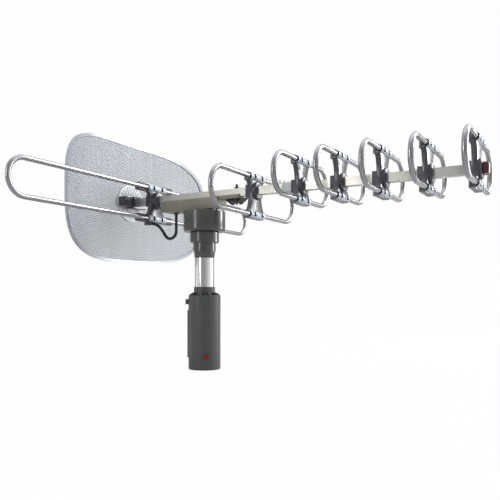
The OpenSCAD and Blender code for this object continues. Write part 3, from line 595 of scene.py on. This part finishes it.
class AntennaSizes(bpy.types.PropertyGroup):
    """The panel's sizes"""
    ring_width: bpy.props.FloatProperty(
        name="Ring width", description="Width of directors 2 to 6 between tube centres",
        default=0.1792, min=0.1, max=0.3, subtype="DISTANCE", unit="LENGTH")
    wide_ring_width: bpy.props.FloatProperty(
        name="First ring width", description="Width of director 1 between tube centres",
        default=0.2454, min=0.1, max=0.4, subtype="DISTANCE", unit="LENGTH")
    ring_height: bpy.props.FloatProperty(
        name="Ring height", description="Distance between a director's two rods",
        default=0.0553, min=0.03, max=0.1, subtype="DISTANCE", unit="LENGTH")
    tube: bpy.props.FloatProperty(
        name="Element tube", description="Diameter of the element tube",
        default=0.007, min=0.004, max=0.01, subtype="DISTANCE", unit="LENGTH")
    mesh_pitch: bpy.props.FloatProperty(
        name="Wire pitch", description="Distance between the reflector's wires",
        default=0.0027, min=0.002, max=0.02, subtype="DISTANCE", unit="LENGTH")
    mesh_wire: bpy.props.FloatProperty(
        name="Wire diameter", description="Diameter of the reflector's wire",
        default=0.0012, min=0.0005, max=0.003, subtype="DISTANCE", unit="LENGTH")
    edge: bpy.props.FloatProperty(
        name="Moulded edge", description="Rounding of moulded edges",
        default=0.0005, min=0.0, max=0.002, subtype="DISTANCE", unit="LENGTH")


class ANTENNA_OT_stage(bpy.types.Operator):
    """Camera, lamps, white surroundings and pale floor"""
    bl_idname = "antenna.stage"
    bl_label = "Stage"

    def execute(self, context):
        scene = context.scene
        scene.view_settings.view_transform = "Standard"
        lens = bpy.data.cameras.new("camera")
        lens.sensor_width = 36.0
        lens.lens = CAMERA_LENS
        lens.shift_x, lens.shift_y = CAMERA_SHIFT
        lens.clip_start = 0.02
        eye = bpy.data.objects.new("camera", lens)
        eye.location = CAMERA_PLACE
        eye.rotation_euler = (math.radians(90.0), 0.0, CAMERA_TURN)
        scene.collection.objects.link(eye)
        scene.camera = eye
        for lamp in LAMPS:
            self.lamp(scene, *lamp)
        self.world(scene)
        self.floor(scene)
        return {"FINISHED"}

    def lamp(self, scene, name, place, aim, size, power):
        light = bpy.data.lights.new(name, "AREA")
        light.shape = "RECTANGLE"
        light.size, light.size_y = size
        light.energy = power
        obj = bpy.data.objects.new(name, light)
        obj.location = place
        obj.rotation_euler = (Vector(aim) - Vector(place)).to_track_quat("-Z", "Y").to_euler()
        scene.collection.objects.link(obj)

    def heading(self, turn):
        """Level direction at an angle from the camera's, seen from the object."""
        angle = CAMERA_AZIMUTH + turn
        return (math.cos(angle), math.sin(angle), 0.0)

    def world(self, scene):
        """White to the camera; to everything else a room that is dark round the camera."""
        world = bpy.data.worlds.new("surroundings")
        scene.world = world
        world.use_nodes = True
        tree = world.node_tree
        tree.nodes.clear()

        def add(kind, operation=None, *values):
            made = tree.nodes.new(kind)
            if operation:
                made.operation = operation
            for socket, value in zip(made.inputs, values):
                if isinstance(value, bpy.types.NodeSocket):
                    tree.links.new(value, socket)
                else:
                    socket.default_value = value
            return made.outputs["Value"] if operation else made.outputs[0]

        where = tree.nodes.new("ShaderNodeTexCoord").outputs["Generated"]
        right = add("ShaderNodeVectorMath", "DOT_PRODUCT", where, self.heading(math.pi / 2))
        toward = add("ShaderNodeVectorMath", "DOT_PRODUCT", where, self.heading(0.0))
        shaded = add("ShaderNodeMath", "MAXIMUM", toward, 0.0)
        sided = add("ShaderNodeMath", "MULTIPLY_ADD", right, ROOM_RIGHT, ROOM)
        level = add("ShaderNodeMath", "MULTIPLY_ADD", shaded, -ROOM_CAMERA, sided)
        lit = add("ShaderNodeBackground", None, (1, 1, 1, 1), level)
        shown = add("ShaderNodeBackground", None, (1, 1, 1, 1), 1.0)
        path = tree.nodes.new("ShaderNodeLightPath")
        either = add("ShaderNodeMath", "MAXIMUM", path.outputs["Is Camera Ray"],
                     path.outputs["Is Transmission Ray"])
        share = add("ShaderNodeMath", "MULTIPLY_ADD", path.outputs["Is Glossy Ray"],
                    GLOSSY_SHARE, either)
        tree.links.new(add("ShaderNodeMixShader", None, share, lit, shown),
                       tree.nodes.new("ShaderNodeOutputWorld").inputs[0])

    def floor(self, scene):
        bm = bmesh.new()
        grid = [[bm.verts.new((x, y, z)) for x in (-FLOOR_HALF, FLOOR_HALF)]
                for y, z in FLOOR_OUTLINE]
        for a, b in zip(grid, grid[1:]):
            bm.faces.new((a[0], a[1], b[1], b[0]))
        floor = from_bmesh(bm, "floor")
        f = Finish("pale_floor")
        path = f.node("ShaderNodeLightPath")
        rays = path.socket.node.outputs
        direct = Sock(f, rays["Is Camera Ray"]) * FLOOR_WHITE
        seen = direct + Sock(f, rays["Is Glossy Ray"]) * GLOSSY_SHARE
        glow = f.tree.nodes.new("ShaderNodeEmission")
        glow.inputs[0].default_value = (1, 1, 1, 1)
        mix = f.tree.nodes.new("ShaderNodeMixShader")
        f.put(mix.inputs[0], seen)
        f.tree.links.new(f.shader.outputs[0], mix.inputs[1])
        f.tree.links.new(glow.outputs[0], mix.inputs[2])
        f.tree.links.new(mix.outputs[0], f.output.inputs["Surface"])
        f.surface(Base_Color=(0.5, 0.5, 0.5), Roughness=0.8)
        scene.collection.objects.link(floor)
        floor.data.materials.append(f.material)
        floor.data.transform(Matrix.Rotation(CAMERA_TURN, 4, "Z"))


class ANTENNA_OT_cable(bpy.types.Operator):
    """Black feed lead from the cradle's gland down and round to the dipole's terminal"""
    bl_idname = "antenna.cable"
    bl_label = "Feed lead"

    def execute(self, context):
        route = [Vector((x * MM, y * MM, z * MM + BOOM_Z)) for x, y, z in LEAD_ROUTE]
        path = []
        for i in range(len(route) - 1):
            a, b = route[max(i - 1, 0)], route[i]
            c, d = route[i + 1], route[min(i + 2, len(route) - 1)]
            for k in range(LEAD_STEPS):
                t = k / LEAD_STEPS
                path.append(0.5 * (2 * b + (c - a) * t + (2 * a - 5 * b + 4 * c - d) * t * t
                                   + (3 * b - a - 3 * c + d) * t ** 3))
        path.append(route[-1])
        line = bpy.data.curves.new("feed_cable", "CURVE")
        line.dimensions = "3D"
        spline = line.splines.new("POLY")
        spline.points.add(len(path) - 1)
        for point, place in zip(spline.points, path):
            point.co = (*place, 1.0)
        line.bevel_depth = LEAD_D / 2
        line.bevel_resolution = 4
        line.use_fill_caps = True
        line.materials.append(FINISHES["cord"])
        cable = bpy.data.objects.new("feed_cable", line)
        context.scene.collection.objects.link(cable)
        stand_for(cable, "head", "feed_lead", slot="cord_rubber")
        length = sum((b - a).length for a, b in zip(path, path[1:]))
        return {"FINISHED"}


class ANTENNA_OT_mast(bpy.types.Operator):
    """Mast sleeve, collar, tube and the stepped rotor body"""
    bl_idname = "antenna.mast"
    bl_label = "Mast and rotor"

    def execute(self, context):
        dress("sleeve", "mast_sleeve", "mast_collar")
        dress("screw_red", "clamp_screw")
        dress("drum", "rotor_housing", "rotor_lid", "mast_socket", "bearing_cup")
        dress("steel", "output_shaft", "gear_motor", "motor_plate", "motor_screws",
              "lid_screws", "drum_bolts", "drum_nuts", "cradle_screws")
        dress("nylon", "thrust_washer")
        dress("dark_steel", "shaft_circlip")
        dress("bronze", "bearing_bush")
        dress("chrome", "mast_tube")
        return {"FINISHED"}


class ANTENNA_OT_boom(bpy.types.Operator):
    """Boom, its cradle, coupler, end cap and wing knob"""
    bl_idname = "antenna.boom"
    bl_label = "Boom and cradle"

    def execute(self, context):
        edge = context.scene.antenna_sizes.edge
        dress("boom", "boom_rear_tube", "boom_front_tube", "boom_splice")
        dress("board", "amplifier_board")
        dress("cord", "cable_gland")
        dress("dark_steel", "boom_bolt")
        dress("cradle", "cradle_cover")
        for node, name, finish, slot in (
                ("boom_cradle", "cradle_shell", "cradle", "cradle_plastic"),
                ("boom_coupler", "coupler_sleeve", "hub", "hub_plastic"),
                ("boom_end_cap", "end_cap", "cap", "cap_plastic"),
                ("wing_nut", "wing_knob", "knob", "bracket_plastic")):
            piece = softened(node, name, edge)
            piece.data.materials.append(FINISHES[finish])
            stand_for(piece, "head", node, slot=slot)
        return {"FINISHED"}


class ANTENNA_OT_elements(bpy.types.Operator):
    """Folded dipole and six ring directors of bright tube"""
    bl_idname = "antenna.elements"
    bl_label = "Dipole and directors"

    def execute(self, context):
        size = context.scene.antenna_sizes
        dress("element", "dipole")
        low = BOOM_Z - HUB_OFFSET
        high = BOOM_Z + HUB_OFFSET
        for name, width, places, nodes in (
                ("director_wide", size.wide_ring_width, [(0, DIRECTOR_Y[0], low)],
                 ["director_1"]),
                ("directors_row", size.ring_width, [(0, y, high) for y in DIRECTOR_Y[1:]],
                 [f"director_{i}" for i in range(2, 7)])):
            recipe = racetrack_recipe(width, size.ring_height, size.tube)
            ring = recipe.make(name, place_mesh("ring_places", places))
            stand_for(ring, "head", *nodes, slot="element_aluminium")
        return {"FINISHED"}


class ANTENNA_OT_brackets(bpy.types.Operator):
    """Moulded brackets that grip the rods, with their hub screws and the feed terminal"""
    bl_idname = "antenna.brackets"
    bl_label = "Element brackets"

    def execute(self, context):
        edge = context.scene.antenna_sizes.edge
        dress("dark_steel", "bracket_screws")
        dress("bracket", "feed_terminal")
        first = softened("bracket_1", "bracket_wide_ring", edge * 0.7)
        stand_for(paint_front_light(first, DIRECTOR_Y[0]), "head", "bracket_1", slot="bracket_plastic")
        feed = softened("dipole_bracket", "bracket_dipole", edge * 0.7)
        stand_for(paint_front_light(feed, DIPOLE_Y), "head", "dipole_bracket", slot="bracket_plastic")
        pattern = paint_front_light(softened("bracket_2", "bracket_pattern", edge * 0.7), DIRECTOR_Y[1])
        move(pattern, (0, -DIRECTOR_Y[1], 0))
        row = bracket_recipe(pattern).make(
            "brackets_row", place_mesh("bracket_places", [(0, y, 0) for y in DIRECTOR_Y[1:]]))
        bpy.data.objects.remove(pattern)
        stand_for(row, "head", *[f"bracket_{i}" for i in range(2, 7)], slot="bracket_plastic")
        return {"FINISHED"}


class ANTENNA_OT_reflector(bpy.types.Operator):
    """Bowed woven reflector with its folded rim, slotted hub and clamp bar"""
    bl_idname = "antenna.reflector"
    bl_label = "Reflector"

    def execute(self, context):
        size = context.scene.antenna_sizes
        dress("rim", "reflector_rim", "reflector_backplate")
        dress("hub", "reflector_hub")
        dress("bracket", "reflector_clamp")
        dress("steel", "reflector_screws")
        recipe = woven_recipe(SHEET_WIDTH, SHEET_HEIGHT, SHEET_POWER,
                              BOW_RADIUS - SHEET_HALF_T, size.mesh_pitch, size.mesh_wire)
        sheet = recipe.make("woven_sheet")
        move(sheet, (0, REFLECTOR_Y - BOW_RADIUS, REFLECTOR_Z))
        stand_for(sheet, "head", "reflector_mesh", slot="mesh_paint")
        return {"FINISHED"}


class ANTENNA_PT_panel(bpy.types.Panel):
    """Lists the antenna's pieces and its sizes and colours"""
    bl_idname = "ANTENNA_PT_panel"
    bl_label = "Antenna"
    bl_space_type = "VIEW_3D"
    bl_region_type = "UI"
    bl_category = "Antenna"

    def draw(self, context):
        for operator in OPERATORS:
            self.layout.operator(operator.bl_idname)
        for group in (context.scene.antenna_sizes, context.scene.antenna_paint):
            for key in group.bl_rna.properties.keys():
                if key not in ("rna_type", "name"):
                    self.layout.prop(group, key)


OPERATORS = (ANTENNA_OT_stage, ANTENNA_OT_cable, ANTENNA_OT_mast, ANTENNA_OT_boom,
             ANTENNA_OT_elements, ANTENNA_OT_brackets, ANTENNA_OT_reflector)
CLASSES = (AntennaPaint, AntennaSizes, *OPERATORS, ANTENNA_PT_panel)


def register():
    for item in CLASSES:
        bpy.utils.register_class(item)
    bpy.types.Scene.antenna_paint = bpy.props.PointerProperty(type=AntennaPaint)
    bpy.types.Scene.antenna_sizes = bpy.props.PointerProperty(type=AntennaSizes)


def unregister():
    del bpy.types.Scene.antenna_sizes
    del bpy.types.Scene.antenna_paint
    for item in reversed(CLASSES):
        bpy.utils.unregister_class(item)


def main():
    """Builds everything."""
    register()
    make_finishes(bpy.context.scene.antenna_paint)
    for operator in OPERATORS:
        group, action = operator.bl_idname.split(".")
        getattr(getattr(bpy.ops, group), action)()


if __name__ == "__main__":
    main()
